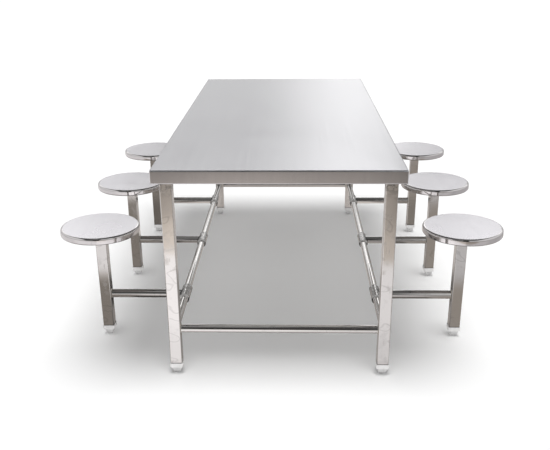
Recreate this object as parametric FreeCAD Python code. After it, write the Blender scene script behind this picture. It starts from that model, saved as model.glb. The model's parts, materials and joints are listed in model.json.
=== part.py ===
"""Canteen table with six attached swivel stools, in stainless steel.

Millimetres. X runs across the table, Y along it and Z up; the origin is on the floor
under the middle of the table top. Each stool swings up about the low side rail that its
sleeve turns on, and each seat turns about the pivot bolt in the head of its post.
"""
import FreeCAD, Part
import os
from math import asin, cos, pi, sin, sqrt

from FreeCAD import Vector

# ---------------------------------------------------------------- driving dimensions

# Table top: a folded sheet pan over a board
table_height = 750.0
top_length = 1800.0
top_width = 820.0
top_sheet = 1.2
top_bend = 5.0            # outside radius of every fold
lip_depth = 45.0
lip_return = 12.0         # inward hem at the foot of the lip
board_thickness = 18.0
board_gap = 4.0           # board edge to pan wall, clear of the inside of the fold

# Frame under the board
bearer_side = 25.0
bearer_wall = 1.5
middle_bearers = 3

# Legs
leg_side = 40.0
leg_wall = 1.5
tube_corner = 3.0         # outside corner radius of the square tubes
leg_inset_x = 47.0        # top edge to leg centre
leg_inset_y = 41.0

# Low bars: two across the ends, and a rail along each side that carries the stools
rail_height = 170.0
rail_diameter = 28.0
rail_wall = 1.5
stop_ring_diameter = 31.0
stop_ring_width = 4.0

# Plastic feet under every square tube
foot_height = 28.0        # floor to the end of the tube
foot_collar = 12.0        # how far the collar reaches up the tube
foot_skirt = 4.0          # how far the collar hangs below the tube's end
foot_collar_wall = 2.5
foot_bowl_diameter = 40.0
foot_sole_diameter = 20.0

# Stools
end_stool_inset = 284.0   # leg axis to the end stool's arm, along the rail
seat_reach = 306.0        # rail axis to seat axis
post_side = 40.0
post_wall = 1.5
arm_diameter = 32.0
arm_wall = 1.5
sleeve_diameter = 38.0
sleeve_wall = 2.0
sleeve_length = 90.0
weld_fillet = 3.0
bush_depth = 18.0
bush_flange = 5.0

# Seat and swivel
seat_height = 448.0
seat_diameter = 290.0
seat_sheet = 1.2
seat_rim_depth = 25.0
seat_edge_radius = 8.0    # where the flat top turns down into the rim
seat_fold_radius = 4.0    # where the rim turns in under the seat
seat_curl = 8.0           # width of the rim turned in under the seat
base_sheet = 1.5
hub_flange_diameter = 110.0
hub_flange_thickness = 4.0
hub_diameter = 44.0
hub_length = 22.0
washer_thickness = 3.0
bolt_shoulder_diameter = 20.0
bolt_thread_diameter = 16.0
bolt_thread_length = 22.0
bolt_head_diameter = 32.0
bolt_head_height = 8.0
bolt_socket_flats = 12.0
bolt_socket_depth = 5.0
post_cap_thickness = 6.0
post_boss_diameter = 30.0
post_boss_length = 18.0

# Named clearances
running_gap = 0.05        # radial, on the rail and on the bolt shoulder
end_gap = 0.5             # axial, bush flange to stop ring
head_gap = 0.2            # under the bolt head
washer_gap = 0.4          # radial, washer bore to bolt shoulder
head_room = 4.0           # radial, bolt head to the hole in the seat base
touching = 0.01           # places closer than this are the same place

# ---------------------------------------------------------------- worked-out places

leg_x = top_width / 2 - leg_inset_x
leg_y = top_length / 2 - leg_inset_y
board_top = table_height - top_sheet
board_bottom = board_top - board_thickness
half_leg = leg_side / 2
rail_radius = rail_diameter / 2
bush_outer_radius = sleeve_diameter / 2 - sleeve_wall
bushed_length = sleeve_length + 2 * bush_flange
seat_bottom = seat_height - seat_rim_depth
base_bottom = seat_bottom + seat_sheet
hub_bottom = base_bottom - hub_flange_thickness - hub_length
post_top = hub_bottom - washer_thickness
seat_radius = seat_diameter / 2
shoulder_radius = bolt_shoulder_diameter / 2
thread_radius = bolt_thread_diameter / 2

X_AXIS = Vector(1, 0, 0)
Y_AXIS = Vector(0, 1, 0)
Z_AXIS = Vector(0, 0, 1)


# ---------------------------------------------------------------- shapes used often

def block(x_low, x_high, y_low, y_high, z_low, z_high):
    """A plain block between two corners."""
    size = (x_high - x_low, y_high - y_low, z_high - z_low)
    return Part.makeBox(*size, Vector(x_low, y_low, z_low))


def cylinder(diameter, length, start, axis):
    return Part.makeCylinder(diameter / 2, length, start, axis)


def round_tube(diameter, wall, length, start, axis):
    outside = cylinder(diameter, length, start, axis)
    return outside.cut(cylinder(diameter - 2 * wall, length, start, axis))


def ring(outer_radius, inner_radius, z_low, height):
    outside = cylinder(2 * outer_radius, height, Vector(0, 0, z_low), Z_AXIS)
    return outside.cut(cylinder(2 * inner_radius, height, Vector(0, 0, z_low), Z_AXIS))


def square_bar(side, corner, z_low, z_high):
    """An upright square bar on the Z axis, with its four long corners rounded."""
    bar = block(-side / 2, side / 2, -side / 2, side / 2, z_low, z_high)
    upright = [edge for edge in bar.Edges if edge.BoundBox.ZLength > touching]
    return bar.makeFillet(corner, upright)


def square_tube(side, wall, z_low, z_high):
    outside = square_bar(side, tube_corner, z_low, z_high)
    return outside.cut(square_bar(side - 2 * wall, tube_corner - wall, z_low, z_high))


def square_member(side, wall, length, start, axis):
    """A lying square tube with sharp corners, from start along X or Y."""
    def bar(width):
        across = axis.cross(Z_AXIS) * (width / 2)
        rise = Z_AXIS * (width / 2)
        corners = [start - across - rise, start + across - rise,
                   start + across + rise, start - across + rise]
        return Part.Face(Part.makePolygon(corners + corners[:1])).extrude(axis * length)
    return bar(side).cut(bar(side - 2 * wall))


def moved(shape, x, y, z=0.0):
    copy = shape.copy()
    copy.translate(Vector(x, y, z))
    return copy


def save(name, shape):
    """Write one node, and print what it holds."""
    shape.exportStep("parts/" + name + ".step")
    print(name, len(shape.Solids), "solid(s)", round(shape.Volume / 1000, 1), "cm3")


# ---------------------------------------------------------------- table

def tabletop_sheet():
    """A pan folded from one sheet: flat top, four lips and an inward hem."""
    half_width, half_length = top_width / 2, top_length / 2

    def rounded(inset, radius):
        body = block(-half_width + inset, half_width - inset,
                     -half_length + inset, half_length - inset,
                     table_height - lip_depth + inset, table_height - inset)
        return body.makeFillet(radius, body.Edges)

    pan = rounded(0, top_bend).cut(rounded(top_sheet, top_bend - top_sheet))
    mouth = block(-half_width + lip_return, half_width - lip_return,
                  -half_length + lip_return, half_length - lip_return,
                  table_height - lip_depth, table_height - lip_depth + 2 * top_bend)
    return pan.cut(mouth)


def tabletop_board():
    half_width = top_width / 2 - top_sheet - board_gap
    half_length = top_length / 2 - top_sheet - board_gap
    return block(-half_width, half_width, -half_length, half_length, board_bottom, board_top)


def underframe():
    """Square-tube bearers between the leg heads, tight under the board."""
    height = board_bottom - bearer_side / 2
    clear_x = leg_x - half_leg
    clear_y = leg_y - half_leg
    inner_x = leg_x - bearer_side / 2
    members = []
    for side in (-1, 1):
        start = Vector(side * leg_x, -clear_y, height)
        members.append(square_member(bearer_side, bearer_wall, 2 * clear_y, start, Y_AXIS))
        start = Vector(-clear_x, side * leg_y, height)
        members.append(square_member(bearer_side, bearer_wall, 2 * clear_x, start, X_AXIS))
    pitch = 2 * leg_y / (middle_bearers + 1)
    for number in range(1, middle_bearers + 1):
        start = Vector(-inner_x, -leg_y + number * pitch, height)
        members.append(square_member(bearer_side, bearer_wall, 2 * inner_x, start, X_AXIS))
    return Part.makeCompound(members)


def leg():
    return square_tube(leg_side, leg_wall, foot_height, board_bottom)


def foot(side):
    """A moulded cap: a square collar round the tube, over a round bowl with a flat sole."""
    collar_top = foot_height + foot_collar
    bowl_radius = foot_bowl_diameter / 2
    sole_radius = foot_sole_diameter / 2
    bowl_depth = sqrt(bowl_radius ** 2 - sole_radius ** 2)
    half_turn = asin(bowl_depth / bowl_radius) / 2

    sole = Vector(sole_radius, 0, 0)
    belly = Vector(bowl_radius * cos(half_turn), 0, bowl_depth - bowl_radius * sin(half_turn))
    brim = Vector(bowl_radius, 0, bowl_depth)
    outline = [
        Part.LineSegment(Vector(0, 0, 0), sole).toShape(),
        Part.Arc(sole, belly, brim).toShape(),
        Part.LineSegment(brim, Vector(bowl_radius, 0, foot_height)).toShape(),
        Part.LineSegment(Vector(bowl_radius, 0, foot_height), Vector(0, 0, foot_height)).toShape(),
        Part.LineSegment(Vector(0, 0, foot_height), Vector(0, 0, 0)).toShape(),
    ]
    bowl = Part.Face(Part.Wire(outline)).revolve(Vector(0, 0, 0), Z_AXIS, 360)
    collar = square_bar(side + 2 * foot_collar_wall, tube_corner + foot_collar_wall,
                        foot_height - foot_skirt, collar_top)
    pocket = square_bar(side, tube_corner, foot_height, collar_top)
    return collar.fuse(bowl).cut(pocket).removeSplitter()


def crossbar():
    length = 2 * (leg_x - half_leg)
    return round_tube(rail_diameter, rail_wall, length, Vector(-length / 2, 0, rail_height), X_AXIS)


def side_rail():
    """The long tube that the sleeves turn on, with a welded stop ring at each sleeve end."""
    length = 2 * (leg_y - half_leg)
    rail = round_tube(rail_diameter, rail_wall, length, Vector(0, -length / 2, rail_height), Y_AXIS)
    rings = []
    for seat_y in stool_rows():
        for end in (-1, 1):
            inner_face = seat_y + end * (bushed_length / 2 + end_gap)
            start = Vector(0, min(inner_face, inner_face + end * stop_ring_width), rail_height)
            stop = cylinder(stop_ring_diameter, stop_ring_width, start, Y_AXIS)
            rings.append(stop.cut(cylinder(rail_diameter, stop_ring_width, start, Y_AXIS)))
    return rail.multiFuse(rings)


def stool_rows():
    """How far along the table each row of stools stands: front, middle and rear."""
    end_row = leg_y - end_stool_inset
    return [-end_row, 0, end_row]


# ---------------------------------------------------------------- stool
# Every stool piece is built with the rail axis over the origin and the seat out along +X.

def swing_arm():
    """Round arm welded into the side of the sleeve that turns on the rail."""
    centre = Vector(0, 0, rail_height)
    sleeve_start = Vector(0, -sleeve_length / 2, rail_height)
    arm_length = seat_reach - post_side / 2
    arm = cylinder(arm_diameter, arm_length, centre, X_AXIS)
    sleeve = cylinder(sleeve_diameter, sleeve_length, sleeve_start, Y_AXIS)
    joined = arm.fuse(sleeve).removeSplitter()
    joined = joined.makeFillet(weld_fillet, saddle_edges(joined))
    arm_bore = cylinder(arm_diameter - 2 * arm_wall, arm_length, centre, X_AXIS).cut(sleeve)
    sleeve_bore = cylinder(2 * bush_outer_radius, sleeve_length, sleeve_start, Y_AXIS)
    return joined.cut(arm_bore).cut(sleeve_bore)


def saddle_edges(shape):
    """The edges where a round arm meets the side of a sleeve."""
    reach = sleeve_diameter / 2
    found = []
    for edge in shape.Edges:
        box = edge.BoundBox
        inside_sleeve = box.XMin > 0 and box.XMax < reach + touching
        off_ends = abs(box.YMax) < arm_diameter and abs(box.YMin) < arm_diameter
        if inside_sleeve and off_ends and edge.Curve.TypeId != "Part::GeomLine":
            found.append(edge)
    return found


def sleeve_bushes():
    """Two flanged nylon bushes pressed into the sleeve ends."""
    bore = 2 * (rail_radius + running_gap)
    bushes = []
    for end in (-1, 1):
        outer_face = Vector(0, end * bushed_length / 2, rail_height)
        inward = Y_AXIS * -end
        flange = cylinder(sleeve_diameter, bush_flange, outer_face, inward)
        barrel = cylinder(2 * bush_outer_radius, bush_flange + bush_depth, outer_face, inward)
        hole = cylinder(bore, bush_flange + bush_depth, outer_face, inward)
        bushes.append(flange.fuse(barrel).removeSplitter().cut(hole))
    return Part.makeCompound(bushes)


def post():
    """Square tube with a welded cap, bossed and bored for the pivot bolt."""
    tube_top = post_top - post_cap_thickness
    tube = square_tube(post_side, post_wall, foot_height, tube_top)
    cap = square_bar(post_side, tube_corner, tube_top, post_top)
    boss_foot = Vector(0, 0, tube_top - post_boss_length)
    boss = cylinder(post_boss_diameter, post_boss_length, boss_foot, Z_AXIS)
    bore = cylinder(2 * (thread_radius + running_gap), post_boss_length + post_cap_thickness,
                    boss_foot, Z_AXIS)
    return tube.fuse(cap).fuse(boss).cut(bore).removeSplitter()


def pivot_bolt():
    """Shoulder bolt: the seat hub turns on the shoulder, under the head."""
    head_low = base_bottom + head_gap
    thread = cylinder(bolt_thread_diameter, bolt_thread_length,
                      Vector(0, 0, post_top - bolt_thread_length), Z_AXIS)
    shoulder = cylinder(bolt_shoulder_diameter, head_low - post_top, Vector(0, 0, post_top), Z_AXIS)
    head = cylinder(bolt_head_diameter, bolt_head_height, Vector(0, 0, head_low), Z_AXIS)
    corner = bolt_socket_flats / 2 / cos(pi / 6)
    floor = head_low + bolt_head_height - bolt_socket_depth
    sixths = [number * pi / 3 for number in range(7)]
    hexagon = [Vector(corner * cos(turn), corner * sin(turn), floor) for turn in sixths]
    socket = Part.Face(Part.makePolygon(hexagon)).extrude(Z_AXIS * bolt_socket_depth)
    return thread.fuse(shoulder).fuse(head).cut(socket)


def thrust_washer():
    return ring(hub_diameter / 2, shoulder_radius + washer_gap, post_top, washer_thickness)


def seat_pan():
    """Pressed pan: flat top, rounded edge, rim curled in underneath."""
    def rounded(inset):
        disc = cylinder(seat_diameter - 2 * inset, seat_rim_depth - 2 * inset,
                        Vector(0, 0, seat_bottom + inset), Z_AXIS)
        for radius, height in ((seat_edge_radius, seat_height - inset),
                               (seat_fold_radius, seat_bottom + inset)):
            rims = [edge for edge in disc.Edges
                    if edge.isClosed() and abs(edge.BoundBox.ZMax - height) < touching]
            disc = disc.makeFillet(radius - inset, rims)
        return disc

    mouth = cylinder(seat_diameter - 2 * seat_curl, 2 * seat_sheet, Vector(0, 0, seat_bottom), Z_AXIS)
    return rounded(0).cut(rounded(seat_sheet)).cut(mouth)


def seat_base():
    """Disc held by the curled rim, with the swivel hub welded under its middle."""
    disc_radius = seat_radius - seat_fold_radius
    head_hole = bolt_head_diameter / 2 + head_room
    bore_radius = shoulder_radius + running_gap
    disc = ring(disc_radius, head_hole, base_bottom, base_sheet)
    flange = ring(hub_flange_diameter / 2, bore_radius, base_bottom - hub_flange_thickness,
                  hub_flange_thickness)
    hub = ring(hub_diameter / 2, bore_radius, hub_bottom, hub_length)
    return disc.fuse(flange).fuse(hub).removeSplitter()


# ---------------------------------------------------------------- assembly

def save_table():
    save("tabletop_sheet", tabletop_sheet())
    save("tabletop_board", tabletop_board())
    save("underframe", underframe())
    feet = []
    for end_name, end in (("front", -1), ("rear", 1)):
        save("crossbar_" + end_name, moved(crossbar(), 0, end * leg_y))
        for side_name, side in (("left", -1), ("right", 1)):
            save("leg_" + side_name + "_" + end_name, moved(leg(), side * leg_x, end * leg_y))
            feet.append(moved(foot(leg_side), side * leg_x, end * leg_y))
    save("leg_feet", Part.makeCompound(feet))
    for side_name, side in (("left", -1), ("right", 1)):
        save("side_rail_" + side_name, moved(side_rail(), side * leg_x, 0))


def save_stools():
    on_rail_axis = {"swing_arm": swing_arm(), "sleeve_bushes": sleeve_bushes()}
    on_seat_axis = {"post": post(), "post_foot": foot(post_side), "pivot_bolt": pivot_bolt(),
                    "thrust_washer": thrust_washer(), "seat_pan": seat_pan(),
                    "seat_base": seat_base()}
    pieces = dict(on_rail_axis)
    pieces.update({name: moved(shape, seat_reach, 0) for name, shape in on_seat_axis.items()})
    for side_name, side, turn in (("left", -1, 180), ("right", 1, 0)):
        for row_name, row_y in zip(("front", "middle", "rear"), stool_rows()):
            for name, shape in pieces.items():
                placed = shape.copy()
                placed.rotate(Vector(0, 0, 0), Z_AXIS, turn)
                save(name + "_" + side_name + "_" + row_name, moved(placed, side * leg_x, row_y))


os.makedirs("parts", exist_ok=True)
save_table()
save_stools()
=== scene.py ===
# %% [markdown]
# # Dressing a canteen table with six swivel stools
#
# The real table is all stainless steel: a folded sheet top on four square legs, with three round
# stools along each side. Each stool is tied to the table by an arm whose sleeve turns on a low
# rail, so that it can be swung up for sweeping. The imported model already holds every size, place
# and joint. This lesson makes the surfaces that the eye sees, gives each one its finish, and
# builds the pale studio that the steel reflects.

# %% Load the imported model
import json
from math import asin, atan2, cos, pi, radians, sin, sqrt, tan

import bmesh
import bpy
from mathutils import Matrix, Vector, noise


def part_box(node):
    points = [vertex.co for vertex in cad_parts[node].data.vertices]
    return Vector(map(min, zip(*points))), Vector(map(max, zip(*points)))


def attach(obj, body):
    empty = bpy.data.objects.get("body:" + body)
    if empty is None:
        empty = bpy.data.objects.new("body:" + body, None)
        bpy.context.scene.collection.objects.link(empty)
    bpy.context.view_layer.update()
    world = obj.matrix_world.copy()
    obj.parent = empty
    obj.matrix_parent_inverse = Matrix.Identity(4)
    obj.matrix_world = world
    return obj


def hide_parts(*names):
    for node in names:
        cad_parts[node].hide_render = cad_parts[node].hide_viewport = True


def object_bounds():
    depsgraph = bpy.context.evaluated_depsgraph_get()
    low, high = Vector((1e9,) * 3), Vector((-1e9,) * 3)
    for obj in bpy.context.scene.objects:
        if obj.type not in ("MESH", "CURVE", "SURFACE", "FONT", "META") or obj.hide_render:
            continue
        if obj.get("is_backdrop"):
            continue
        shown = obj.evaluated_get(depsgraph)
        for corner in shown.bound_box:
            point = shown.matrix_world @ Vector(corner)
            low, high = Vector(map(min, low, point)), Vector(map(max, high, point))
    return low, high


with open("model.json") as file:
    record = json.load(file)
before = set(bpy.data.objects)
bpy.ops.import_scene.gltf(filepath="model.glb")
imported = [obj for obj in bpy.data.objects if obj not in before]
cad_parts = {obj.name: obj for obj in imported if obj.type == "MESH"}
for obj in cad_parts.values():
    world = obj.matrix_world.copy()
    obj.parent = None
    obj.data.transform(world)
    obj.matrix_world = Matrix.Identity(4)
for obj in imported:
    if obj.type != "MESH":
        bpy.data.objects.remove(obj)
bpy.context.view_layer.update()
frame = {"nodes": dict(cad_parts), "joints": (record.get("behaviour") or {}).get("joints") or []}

# %% [markdown]
# ## Sizes
#
# Every place is read from the frame, so a piece made here lies exactly on the solid that it
# stands for. Only what a box can't tell, such as a sheet's thickness or a bend's radius, is
# written down, once, in metres.

# %% Sheet, tube and bend sizes
MM = 0.001
SHEET = 1.2 * MM
TOP_BEND = 5.0 * MM
HEM_BEND = 2.5 * MM
TOP_HEM = 12.0 * MM
TUBE_CORNER = 3.0 * MM
SEAT_EDGE = 8.0 * MM
SEAT_FOLD = 4.0 * MM
SEAT_CURL = 8.0 * MM
SIDES = {"left": -1, "right": 1}
ROWS = ("front", "middle", "rear")
ENDS = {"front": -1, "rear": 1}


def centre_and_size(node):
    """Where a node of the frame is, and how large."""
    low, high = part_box(node)
    return (low + high) / 2, high - low


def turn_axis(joint_name):
    """The point that a joint turns about."""
    joint = next(joint for joint in frame["joints"] if joint["name"] == joint_name)
    return Vector(joint["pos_m"])


leg_centre, leg_size = centre_and_size("leg_right_rear")
rail_centre, rail_size = centre_and_size("side_rail_right")
bar_centre, bar_size = centre_and_size("crossbar_front")
pan_centre, pan_size = centre_and_size("seat_pan_right_middle")
base_centre, base_size = centre_and_size("seat_base_right_middle")
post_centre, post_size = centre_and_size("post_right_middle")
rail_axis = turn_axis("stool_fold_right_middle")
seat_axis = turn_axis("seat_swivel_right_middle")
reach = seat_axis.x - rail_axis.x
stool_spots = [(side, row) for side in SIDES for row in ROWS]
print("seat axis stands", round(reach, 3), "m out from the rail axis, at height", rail_axis.z)

# %% [markdown]
# ## Turning an outline into a surface
#
# Sheet metal and tube have no sharp corners: each fold has a radius, and that small round is
# what catches a line of light. So every outline here starts as a few corner points, and one
# helper swaps each corner for an arc. Two more helpers turn outlines into surfaces. One spins a
# profile, as a lathe does, for whatever is round. The other stretches a skin over a row of
# rings, as on a boat's ribs, for tubes and pans.

# %% Outline, lathe and skin
ARC_STEPS = 6
ROUND_STEPS = 96


def rounded(corners):
    """A closed flat outline. Each corner is (x, y, radius)."""
    places = [Vector(corner[:2]) for corner in corners]
    outline = []
    for index, corner in enumerate(places):
        radius = corners[index][2]
        back = (places[index - 1] - corner).normalized()
        ahead = (places[(index + 1) % len(places)] - corner).normalized()
        half = back.angle(ahead) / 2
        centre = corner + (back + ahead).normalized() * (radius / sin(half))
        start = back * (radius / tan(half)) + corner - centre
        end = ahead * (radius / tan(half)) + corner - centre
        turn = -start.angle_signed(end, 0.0)
        for step in range(ARC_STEPS + 1):
            outline.append(centre + Matrix.Rotation(turn * step / ARC_STEPS, 2) @ start)
    return outline


def lathe(profile, steps=ROUND_STEPS, closed=True):
    """Spin a profile of (radius, height) points about the Z axis."""
    mesh = bmesh.new()
    points = [mesh.verts.new((radius, 0, height)) for radius, height in profile]
    pairs = list(zip(points, points[1:]))
    if closed:
        pairs.append((points[-1], points[0]))
    edges = [mesh.edges.new(pair) for pair in pairs]
    bmesh.ops.spin(mesh, geom=points + edges, axis=(0, 0, 1), cent=(0, 0, 0),
                   angle=2 * pi, steps=steps, use_merge=True)
    return mesh


def skin(rings, capped=True):
    """Faces from ring to ring. Every ring has the same number of points."""
    mesh = bmesh.new()
    loops = [[mesh.verts.new(point) for point in ring] for ring in rings]
    count = len(loops[0])
    for lower, upper in zip(loops, loops[1:]):
        for here in range(count):
            there = (here + 1) % count
            mesh.faces.new((lower[here], lower[there], upper[there], upper[here]))
    if capped:
        mesh.faces.new(loops[0][::-1])
        mesh.faces.new(loops[-1])
    return mesh


def rectangle(half_x, half_y, corner):
    """A rectangle round the origin, with all four corners rounded alike."""
    return rounded([(half_x, -half_y, corner), (half_x, half_y, corner),
                    (-half_x, half_y, corner), (-half_x, -half_y, corner)])


print("a leg's outline has", len(rectangle(leg_size.x / 2, leg_size.y / 2, TUBE_CORNER)), "points")

# %% [markdown]
# ## Making a piece
#
# A mesh becomes a piece in one place. Points that fell together are merged, faces are turned
# outwards, and the shading is smooth apart from real edges. Shading is weighted by area, so that
# a wide flat face next to a small bend stays flat in its reflections. The piece is laid where the
# frame wants it, rides on its body, and stands for the solids that it covers. Its points are kept in
# the table's own frame, so that grain and smudges differ from one stool to the next.

# %% One helper makes every piece
SHARP_EDGE = radians(38)
MERGE_REACH = 0.002 * MM
made_pieces = []
new_pieces = []


def moved(mesh, matrix):
    """The same mesh, turned and moved."""
    bmesh.ops.transform(mesh, matrix=matrix, verts=mesh.verts)
    return mesh


def new_object(name, mesh):
    """Put a mesh into the scene as an object."""
    data = bpy.data.meshes.new(name)
    mesh.to_mesh(data)
    mesh.free()
    made = bpy.data.objects.new(name, data)
    bpy.context.scene.collection.objects.link(made)
    return made


def piece(name, mesh, body, finish, stands_for=(), place=Matrix()):
    """Finish a mesh, hang it on its body and give it a material."""
    moved(mesh, place)
    bmesh.ops.remove_doubles(mesh, verts=mesh.verts, dist=MERGE_REACH)
    bmesh.ops.recalc_face_normals(mesh, faces=mesh.faces)
    made = new_object(name, mesh)
    made.data.polygons.foreach_set("use_smooth", [True] * len(made.data.polygons))
    made.data.set_sharp_from_angle(angle=SHARP_EDGE)
    made.data.materials.append(finish)
    made.modifiers.new("flat_faces_stay_flat", "WEIGHTED_NORMAL").keep_sharp = True
    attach(made, body)
    if stands_for:
        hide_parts(*stands_for)
    made_pieces.append(made)
    new_pieces.append(made)


def report(title):
    """Print how many pieces and faces the last step has made."""
    faces = sum(len(made.data.polygons) for made in new_pieces)
    print(title + ":", len(new_pieces), "pieces,", faces, "faces")
    new_pieces.clear()


print("points closer than", MERGE_REACH, "m are merged")

# %% [markdown]
# ## Writing shader maths as expressions
#
# A finish is mostly arithmetic on noise: so much smear, so much grain, a little wear. In the
# node editor that is dozens of boxes. Here one class wraps an output socket, and Python's own
# operators add the Math nodes, so that a mask reads like a formula. A second class holds the
# material and makes every other node.

# %% Sockets that do sums
class Value:
    """One output socket, which + - * and abs turn into Math nodes."""

    def __init__(self, finish, socket):
        self.finish = finish
        self.socket = socket

    def maths(self, operation, first, second=0.0):
        return self.finish.node("ShaderNodeMath", {"operation": operation}, {0: first, 1: second})

    def __add__(self, other):
        return self.maths("ADD", self, other)

    def __sub__(self, other):
        return self.maths("SUBTRACT", self, other)

    def __rsub__(self, other):
        return self.maths("SUBTRACT", other, self)

    def __mul__(self, other):
        return self.maths("MULTIPLY", self, other)

    def __abs__(self):
        return self.maths("ABSOLUTE", self)

    def ramp(self, low, high):
        """0 below low, 1 above high, and a smooth step between."""
        return self.finish.node("ShaderNodeMapRange", {"interpolation_type": "SMOOTHSTEP"},
                                {"Value": self, "From Min": low, "From Max": high})

    def split(self):
        """The x, y and z of a vector, as three Values."""
        parts = self.finish.node("ShaderNodeSeparateXYZ", None, {"Vector": self})
        return [Value(self.finish, socket) for socket in parts.socket.node.outputs]

    __radd__ = __add__
    __rmul__ = __mul__


print("a Value adds, takes away, multiplies, ramps and splits")


# %% A material that makes its own nodes
class Finish:
    """A material, or the world, whose nodes are added one at a time."""

    def __init__(self, owner):
        owner.use_nodes = True
        self.owner = owner
        self.tree = owner.node_tree
        self.tree.nodes.clear()

    def node(self, kind, settings=None, sockets=None, output=0):
        """Add a node: its settings first, then values or links for its sockets."""
        made = self.tree.nodes.new(kind)
        for name, value in (settings or {}).items():
            setattr(made, name, value)
        for name, value in (sockets or {}).items():
            if isinstance(value, Value):
                self.tree.links.new(value.socket, made.inputs[name])
            else:
                made.inputs[name].default_value = value
        return Value(self, made.outputs[output])

    def colour(self, low, high, share):
        """A colour between two, by a share that may vary over the surface."""
        ends = [end if isinstance(end, Value) else (*end, 1) for end in (low, high)]
        return self.node("ShaderNodeMix", {"data_type": "RGBA"},
                         {0: share, 6: ends[0], 7: ends[1]}, output=2)

    def place(self, stretch=(1, 1, 1), turn=(0, 0, 0)):
        """The point on the surface, in metres, scaled along each axis."""
        point = self.node("ShaderNodeTexCoord", output=3)
        return self.node("ShaderNodeMapping", {"vector_type": "POINT"},
                         {"Vector": point, "Scale": stretch, "Rotation": turn})

    def noise(self, scale, detail=3.0, stretch=(1, 1, 1), turn=(0, 0, 0), twist=0.0):
        """Smooth noise from 0 to 1, with about scale lumps in a metre."""
        sockets = {"Vector": self.place(stretch, turn), "Scale": scale, "Detail": detail,
                   "Distortion": twist}
        return self.node("ShaderNodeTexNoise", None, sockets)

    def facing_up(self):
        """1 where the surface faces straight up, 0 where it stands upright."""
        return self.node("ShaderNodeTexCoord", output=1).split()[2]

    def bump(self, height, depth, under=None):
        """A normal from a height between 0 and 1, for a relief of this depth in metres."""
        sockets = {"Height": height, "Distance": depth, "Strength": 1.0}
        if under is not None:
            sockets["Normal"] = under
        return self.node("ShaderNodeBump", None, sockets)

    def surface(self, clear=0.0, **sockets):
        """End with one Principled surface. Names are socket names with _ for a space."""
        named = {name.replace("_", " "): value for name, value in sockets.items()}
        shader = self.node("ShaderNodeBsdfPrincipled", None, named)
        if clear:
            see_through = self.node("ShaderNodeBsdfTransparent")
            shader = self.node("ShaderNodeMixShader", None, {0: clear, 1: shader, 2: see_through})
        self.node_out(shader, "ShaderNodeOutputMaterial")
        return self.owner

    def node_out(self, shader, kind):
        made = self.tree.nodes.new(kind)
        self.tree.links.new(shader.socket, made.inputs["Surface"])


def new_finish(name):
    return Finish(bpy.data.materials.new(name))


print("a Finish makes noise, bumps, mixed colours and the surface itself")

# %% [markdown]
# ## Satin sheet
#
# The table top is rolled sheet with a satin finish: hair-fine lines run the length of the sheet,
# and under them lie broad, faint clouds from polishing and wiping. The lines are noise squeezed
# across the sheet and drawn out along it. They go into roughness and a bump a few microns deep,
# never into strong colour, because steel shows its grain by how it spreads light. On what faces
# up lies a thin haze, from dust and wiping, that sends part of the light out evenly, as paint
# would. Without it, a sheet seen from above would be as black as the ceiling that it mirrors.

# %% Satin finish for the top and the seats
HAZE = 0.28


def satin_steel(name, tint, roughness, grain_stretch, cloud_scale):
    finish = new_finish(name)
    clouds = finish.noise(cloud_scale, 3.0, twist=0.6)
    smears = finish.noise(9.0, 4.0, (1.0, 0.35, 1.0), (0, 0, 0.5))
    grain = finish.noise(900.0, 2.0, grain_stretch)
    broad_grain = finish.noise(160.0, 2.0, grain_stretch)
    scratch_lines = finish.noise(300.0, 1.0, (1.0, 0.02, 1.0), (0, 0, 0.55))
    scratches = scratch_lines.ramp(0.70, 0.74) * finish.noise(14.0).ramp(0.5, 0.62)
    dull = clouds * 0.07 + smears * 0.05 + grain * 0.05 + scratches * 0.05
    tone = clouds * 0.5 + broad_grain * 0.3 + smears * 0.2 - scratches * 0.2
    darker = [part * 0.90 for part in tint]
    height = grain * 0.5 + broad_grain * 0.35 + scratches * 0.3
    relief = finish.bump(height, 0.006 * MM, finish.bump(clouds, 0.35 * MM))
    haze = finish.facing_up().ramp(0.3, 0.95) * (clouds * 0.06 + HAZE)
    return finish.surface(Base_Color=finish.colour(darker, tint, tone.ramp(0.3, 0.7)),
                          Metallic=1 - haze,
                          Roughness=dull + (roughness - 0.10), Normal=relief)


TOP_TINT = (0.70, 0.695, 0.72)
SEAT_TINT = (0.76, 0.742, 0.775)
satin_top = satin_steel("satin_top_sheet", TOP_TINT, 0.21, (1.0, 0.012, 0.012), 2.2)
satin_seat = satin_steel("satin_seat_top", SEAT_TINT, 0.21, (1.0, 0.02, 1.0), 7.0)
print("satin finishes:", satin_top.name, satin_seat.name)

# %% [markdown]
# ## Polished tube
#
# The legs, posts, rails and arms are polished almost to a mirror, so what shows on them is the
# room. A perfect mirror would look false: real tube is slightly wavy from the rolls, with long
# draw lines, wiped smudges and a few short scratches. The smudges raise the roughness in patches
# and the waves are a very shallow bump. Thin wandering lines are the edges of old water marks.
# Some places are darker. The head of each leg is darkened in mottled patches just under the table
# top, as painted shade, and the sleeves were scorched in welding. A line of painted shade lies where
# a tube enters its foot and along the bottom of a seat's rim, where it turns under.

# %% Polished finish for tubes and the seat rims
# Heights of painted shade: a mottled band at the head of each leg, just under the table top, and a dark
# line where a tube enters its foot and along the bottom of a seat's rim.
HEAD_SHADE_FOOT = 0.64
HEAD_SHADE_TOP = 0.70
TUBE_SHADE_TOP = 0.0425
RIM_SHADE_TOP = 0.4255
SHADE_LINE_SOFT = 0.0015


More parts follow.
